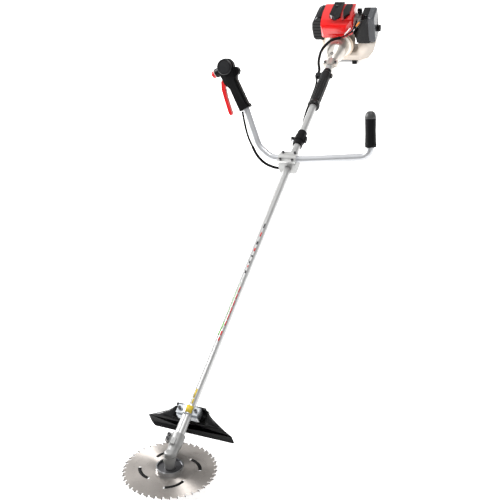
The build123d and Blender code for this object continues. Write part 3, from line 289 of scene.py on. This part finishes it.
# dark sheets inside the four slots: painted shade where the open slots show shadow
for quarter in range(4):
    line = slot_line(90.0 * quarter + SLOT_START)
    filler = bmesh.new()
    rows = []
    for index, point in enumerate(line):
        along = (line[min(index + 1, len(line) - 1)] - line[max(index - 1, 0)]).normalized()
        aside = Vector((-along.y, along.x, 0.0)) * SHADE_SHEET_HALF_WIDTH
        lift = Vector((0.0, 0.0, SHADE_SHEET_HALF_THICKNESS))
        rows.append([point - aside - lift, point + aside - lift, point + aside + lift, point - aside + lift])
    closed_strip(filler, rows)
    slot_shade_piece = piece(f"slot_shade_sheet_{quarter + 1}", mesh_of(filler, "SlotShadeSheet"), painted_slot_shade,
                  "blade_unit")
    slot_shade_piece.matrix_world = blade_place

# ---- printed colour marks on the pipe and the guard bracket, without any lettering ----
PIPE_RADIUS = 12.5
BRACKET_RADIUS = 17.5
MARK_BOTTOM = 0.02
MARK_TOP = 0.16
MARK_STEPS = 6


def pipe_mark(shape, low_u, high_u, low_angle, high_angle, base=PIPE_RADIUS):
    """Add one curved mark, given in millimetres along the pipe and degrees round it."""
    rows = []
    for step in range(MARK_STEPS + 1):
        angle = math.radians(low_angle + (high_angle - low_angle) * step / MARK_STEPS)
        row = []
        for radius, ends in ((base + MARK_BOTTOM, (low_u, high_u)), (base + MARK_TOP, (high_u, low_u))):
            for u in ends:
                row.append(at(u, radius * math.cos(angle), radius * math.sin(angle)))
        rows.append(row)
    closed_strip(shape, rows)


MARKS = (
    ("pipe_marks_black", black_mark, ((742, 760, 104, 122), (676, 688, 100, 124), (628, 634, 98, 126),
                                      (604, 612, 104, 120), (566, 576, 104, 122))),
    ("pipe_marks_red", red_mark, ((708, 724, 104, 122), (650, 662, 102, 124), (588, 596, 106, 120),
                                  (498, 518, 120, 134), (474, 492, 120, 134), (450, 470, 120, 134),
                                  (426, 446, 120, 134), (404, 422, 120, 134), (384, 400, 120, 134),
                                  (352, 366, 112, 132), (334, 346, 112, 132))),
    ("pipe_marks_green", green_mark, ((392, 506, 100, 106), (506, 530, 100, 103), (372, 392, 96, 110),
                                      (350, 372, 88, 102))),
    ("pipe_marks_yellow", yellow_mark, ((160, 186, 98, 118), (144, 158, 104, 124),
                                        (117, 137, 80, 140, BRACKET_RADIUS))),
)
for mark_name, mark_material, spots in MARKS:
    marks = bmesh.new()
    for spot in spots:
        pipe_mark(marks, *spot)
    piece(mark_name, mesh_of(marks, mark_name), mark_material, "machine")


# ---- shapes used below ----
TURNED_SIDES = 64
TUBE_SIDES = 20
ROUNDED_ANGLE = math.radians(24.0)
FLAT_ANGLE = math.radians(0.5)


def turned(name, place, rim, material, body, smooth=False):
    """Closed ring turned about local Z from a closed outline of (radius, height) in millimetres."""
    shape = bmesh.new()
    loops = []
    for step in range(TURNED_SIDES):
        angle = 2 * math.pi * step / TURNED_SIDES
        loops.append([shape.verts.new((r * math.cos(angle) / 1000, r * math.sin(angle) / 1000, z / 1000))
                      for r, z in rim])
    for step in range(TURNED_SIDES):
        one, two = loops[step], loops[(step + 1) % TURNED_SIDES]
        for k in range(len(rim)):
            after = (k + 1) % len(rim)
            shape.faces.new((one[k], one[after], two[after], two[k]))
    bmesh.ops.remove_doubles(shape, verts=shape.verts, dist=1e-6)
    thing = piece(name, mesh_of(shape, name), material, body, smooth)
    thing.matrix_world = place
    return thing


def soften(node, width, material, segments=3, shortest=0.006):
    """Stand-in for a moulded node with its long sharp edges rounded."""
    mesh = nodes[node].data.copy()
    shape = bmesh.new()
    shape.from_mesh(mesh)
    bmesh.ops.remove_doubles(shape, verts=shape.verts, dist=2e-6)
    bmesh.ops.dissolve_limit(shape, angle_limit=FLAT_ANGLE, verts=shape.verts, edges=shape.edges)
    weight = shape.edges.layers.float.new("bevel_weight_edge")
    for edge in shape.edges:
        sharp = len(edge.link_faces) == 2 and edge.calc_face_angle(0.0) > ROUNDED_ANGLE
        edge[weight] = 1.0 if sharp and edge.calc_length() > shortest else 0.0
    shape.to_mesh(mesh)
    shape.free()
    thing = piece(f"{node}_moulded", mesh, material, "machine")
    thing.matrix_world = nodes[node].matrix_world.copy()
    rounding = thing.modifiers.new("Rounding", "BEVEL")
    rounding.width = width
    rounding.segments = segments
    rounding.limit_method = "WEIGHT"
    rounding.harden_normals = True
    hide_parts(node)
    return thing


def smooth_line(stops, steps=8):
    """Catmull-Rom points through the stops, which are in shaft millimetres."""
    ends = [stops[0], *stops, stops[-1]]
    line = []
    for a, b, c, d in zip(ends, ends[1:], ends[2:], ends[3:]):
        for step in range(steps):
            t = step / steps
            line.append([0.5 * (2 * q + (r - p) * t + (2 * p - 5 * q + 4 * r - w) * t * t
                                + (3 * q - p - 3 * r + w) * t ** 3) for p, q, r, w in zip(a, b, c, d)])
    line.append(list(stops[-1]))
    return [at(*point) for point in line]


def tube(name, stops, radii, material):
    """Closed tube along the stops, its radius in millimetres running through the list."""
    line = smooth_line(stops)
    shape = bmesh.new()
    loops = []
    aside = None
    for index, point in enumerate(line):
        along = (line[min(index + 1, len(line) - 1)] - line[max(index - 1, 0)]).normalized()
        aside = along.orthogonal() if aside is None else aside - along * aside.dot(along)
        aside.normalize()
        across = along.cross(aside)
        part = index / (len(line) - 1) * (len(radii) - 1)
        low = min(int(part), len(radii) - 2)
        radius = (radii[low] + (radii[low + 1] - radii[low]) * (part - low)) / 1000.0
        turns = [2 * math.pi * k / TUBE_SIDES for k in range(TUBE_SIDES)]
        loops.append([shape.verts.new(point + (aside * math.cos(turn) + across * math.sin(turn)) * radius)
                      for turn in turns])
    for one, two in zip(loops, loops[1:]):
        for k in range(TUBE_SIDES):
            after = (k + 1) % TUBE_SIDES
            shape.faces.new((one[k], one[after], two[after], two[k]))
    shape.faces.new(loops[0][::-1])
    shape.faces.new(loops[-1])
    return piece(name, mesh_of(shape, name), material, "machine")


def ribs(name, boxes, material):
    """Rounded bars, each given by two corners in shaft millimetres."""
    shape = bmesh.new()
    for low, high in boxes:
        made = bmesh.ops.create_cube(shape, size=1.0)["verts"]
        for corner in made:
            spot = [lo + (hi - lo) * (c + 0.5) for lo, hi, c in zip(low, high, corner.co)]
            corner.co = at(*spot)
    bmesh.ops.bevel(shape, geom=shape.edges[:], offset=0.0005, segments=2, affect="EDGES", profile=0.6)
    return piece(name, mesh_of(shape, name), material, "machine")


def collar(inner, outer, low, high, lip=0.4):
    """Outline of a plain collar with rounded outer rims."""
    return [(inner, low), (outer - lip, low), (outer, low + lip), (outer, high - lip), (outer - lip, high),
            (inner, high)]


# ---- moulded shells with rounded edges ----
soften("cylinder_cover", 0.005, red_shell, 4)
soften("plug_cap_cover", 0.0015, gloss_black)
soften("muffler_cover", 0.004, gloss_black, 4)
soften("air_cleaner_case", 0.0025, gloss_black)
soften("air_cleaner_cover", 0.006, grey_plastic, 4)
soften("guard", 0.0014, guard_plastic, shortest=0.025)
soften("throttle_shell_front", 0.0016, black_plastic, shortest=0.0)
soften("throttle_shell_rear", 0.0016, black_plastic, shortest=0.0)
soften("fuel_tank", 0.008, tank_plastic, 4, 0.012)

# ---- ignition and ground leads beside the carburettor ----
tube("plug_lead_sleeve", [(1677, -38, 64), (1684, -49, 74), (1692, -58, 82)], [2.0, 2.3, 2.3],
     white_plastic)
tube("lead_connector", [(1703, -77, 82), (1709, -82, 87), (1716, -87, 92)], [2.2, 3.1, 3.1, 3.1, 2.2],
     orange_plastic)
tube("stop_lead", [(1684, -50, 66), (1693, -64, 71), (1703, -77, 82), (1716, -87, 92), (1730, -93, 99),
                   (1744, -95, 97)], [1.3, 1.3], rubber)
tube("ground_lead", [(1684, -52, 63), (1698, -68, 66), (1714, -78, 70), (1736, -86, 70), (1750, -90, 66)],
     [1.3, 1.3], rubber)

# ---- ribs between the muffler cover's vents ----
RIB_COUNT = 6
RIB_SPACING = 13
RIB_BOTTOM = 24
RIB_HEIGHT = 3.5
RIB_NEAR = 63
RIB_FAR = 97
RIB_FRONT = 1718.6
RIB_BACK = 1721.0
FULL_RIBS = 3


def rib_end(index):
    """How far a rib reaches; the cover curves in beside the upper ones."""
    return RIB_FAR - 2.2 * max(0, index - FULL_RIBS) ** 1.6


rib_boxes = []
for index in range(RIB_COUNT):
    bottom = RIB_BOTTOM + RIB_SPACING * index
    rib_boxes.append(((RIB_FRONT, RIB_NEAR, bottom), (RIB_BACK, rib_end(index), bottom + RIB_HEIGHT)))
ribs("muffler_cover_ribs", rib_boxes, gloss_black)

# ---- dark ring inside the cup over the blade: painted shade in its hollow ----
CUP_FLOOR = -24.45
turned("upper_holder_painted_shade", on_spindle(CUP_FLOOR), [(13.4, 0.0), (30.2, 0.0), (30.2, 0.4), (13.4, 0.4)],
       dark_steel_and_shade, "blade_unit")

# ---- handlebar and throttle grip frame ----
LEAN = math.radians(55.0)
GRIP_TURN = (0.477, 0.879)
BAR_MIDDLE = Vector((1033.0, 0.0, 27.0))
SIDEWAYS = Vector((0.0, 1.0, 0.0))
RISE = Vector((math.cos(LEAN), 0.0, math.sin(LEAN)))
FACE = Vector((-math.sin(LEAN), 0.0, math.cos(LEAN)))
ALONG = SIDEWAYS * GRIP_TURN[0] + RISE * GRIP_TURN[1]
OUT = SIDEWAYS * GRIP_TURN[1] - RISE * GRIP_TURN[0]
GRIP_ORIGIN = BAR_MIDDLE + RISE * 152.5 + SIDEWAYS * 148.9
BUTTON_X = 146.0
BUTTON_FACE = 42.05
CAP_X = 147.5
HEAD_TOP = 23.0


def grip_point(x, y, z):
    """A point along, out from and above the throttle grip, in shaft millimetres."""
    return GRIP_ORIGIN + ALONG * x + OUT * y + FACE * z


turned("stop_button_ring", frame_at(grip_point(BUTTON_X, BUTTON_FACE, 0.0), ALONG, OUT),
       collar(12.5, 15.2, 0.0, 1.2), white_plastic, "machine")
turned("head_cap_rim", frame_at(grip_point(CAP_X, 0.0, HEAD_TOP), ALONG, FACE),
       collar(20.0, 21.5, -0.2, 0.5, 0.25), black_plastic, "machine")

# ---- domed end of the left grip ----
LEFT_END = BAR_MIDDLE + RISE * 148.5 - SIDEWAYS * 259.5
LEFT_AXIS = (SIDEWAYS * 8.5 + RISE * 124.5).normalized()
DOME_OUTSIDE = [(17.15, -9.0), (16.8, -2.0), (15.1, 5.2), (11.2, 10.8), (6.1, 13.6), (0.03, 14.3)]
DOME_INSIDE = [(0.03, 13.0), (6.0, 12.6), (10.6, 9.8), (14.2, 4.6), (15.6, -2.0), (16.2, -9.0)]
turned("left_grip_dome", frame_at(LEFT_END, FACE, LEFT_AXIS), DOME_OUTSIDE + DOME_INSIDE,
       end_rubber, "machine", smooth=True)

# ---- screw seen on top of the clutch case ----
BELL_SLOPE = (0.963, 0, 0.267)
BELL_NORMAL = (-0.267, 0, 0.963)
turned("clutch_bell_screw", frame_at((1618.0, 0.6, 23.2), BELL_SLOPE, BELL_NORMAL),
       collar(3.4, 6.0, -1.6, 0.8), dark_steel_and_shade, "machine")

# ---- floor, light and camera -------------------------------------------------------------------
FLOOR_REACH = 9
FLOOR_GLOW = 0.55
SKY_UP = (0.25, 0.1, 0.96)
SKY_LOW = 0.16
SKY_HIGH = 0.8

floor_mesh = bpy.data.meshes.new("Floor")
floor_corners = [(x * FLOOR_REACH, y * FLOOR_REACH, 0) for x, y in ((-1, -1), (1, -1), (1, 1), (-1, 1))]
floor_mesh.from_pydata(floor_corners, [], [(0, 1, 2, 3)])
floor = bpy.data.objects.new("Floor", floor_mesh)
bpy.context.scene.collection.objects.link(floor)
floor_material = surface("FloorPaint", (0.93, 0.93, 0.93), 0.9, mottle=0.004, mottle_scale=3.0)
floor_mesh.materials.append(floor_material)
floor_shader = floor_material.node_tree.nodes["Principled BSDF"]
floor_shader.inputs["Emission Color"].default_value = (1.0, 1.0, 1.0, 1.0)
floor_shader.inputs["Emission Strength"].default_value = FLOOR_GLOW

world = bpy.data.worlds.new("Studio")
world.use_nodes = True
sky = world.node_tree
look = sky.nodes.new("ShaderNodeTexCoord")
side = sky.nodes.new("ShaderNodeVectorMath")
side.operation = "DOT_PRODUCT"
side.inputs[1].default_value = SKY_UP
shade = sky.nodes.new("ShaderNodeMapRange")
shade.interpolation_type = "SMOOTHSTEP"
shade.inputs["From Min"].default_value = 0.0
shade.inputs["From Max"].default_value = 1.0
shade.inputs["To Min"].default_value = SKY_LOW
shade.inputs["To Max"].default_value = SKY_HIGH
sky.links.new(look.outputs["Generated"], side.inputs[0])
sky.links.new(side.outputs["Value"], shade.inputs["Value"])
sky.links.new(shade.outputs["Result"], sky.nodes["Background"].inputs["Strength"])
sky.nodes["Background"].inputs["Color"].default_value = (1.0, 1.0, 1.0, 1.0)
bpy.context.scene.world = world


def lamp(name, place, target, size, power):
    """A square soft light at one point, aimed at another."""
    data = bpy.data.lights.new(name, "AREA")
    data.shape = "SQUARE"
    data.size = size
    data.energy = power
    thing = bpy.data.objects.new(name, data)
    bpy.context.scene.collection.objects.link(thing)
    thing.location = place
    thing.rotation_euler = (Vector(target) - Vector(place)).to_track_quat("-Z", "Y").to_euler()
    return thing


lamp("KeyLight", (0.9, -0.9, 3.4), (0.0, 0.0, 0.1), 1.2, 42.0)
lamp("FrontLight", (-2.2, -1.6, 1.9), (0.2, 0.0, 0.1), 1.0, 9.0)
lamp("SideLight", (0.35, 1.65, 1.05), (-0.7, 0.0, 0.1), 0.5, 64.0)

CAMERA_RIGHT = (0.31128, -0.92949, -0.19788)
CAMERA_UP = (0.75310, 0.11427, 0.64791)
CAMERA_BACK = (-0.57961, -0.35070, 0.73556)
CAMERA_SPOT = (-523.54, -702.89, 1503.70)
SENSOR_WIDTH = 36.0
LENS = 49.73

camera_data = bpy.data.cameras.new("Camera")
camera_data.sensor_width = SENSOR_WIDTH
camera_data.lens = LENS
camera = bpy.data.objects.new("Camera", camera_data)
bpy.context.scene.collection.objects.link(camera)
facing = Matrix((way(*CAMERA_RIGHT), way(*CAMERA_UP), way(*CAMERA_BACK))).transposed().to_4x4()
facing.translation = at(*CAMERA_SPOT)
camera.matrix_world = facing
bpy.context.scene.camera = camera
bpy.context.scene.view_settings.view_transform = "Standard"
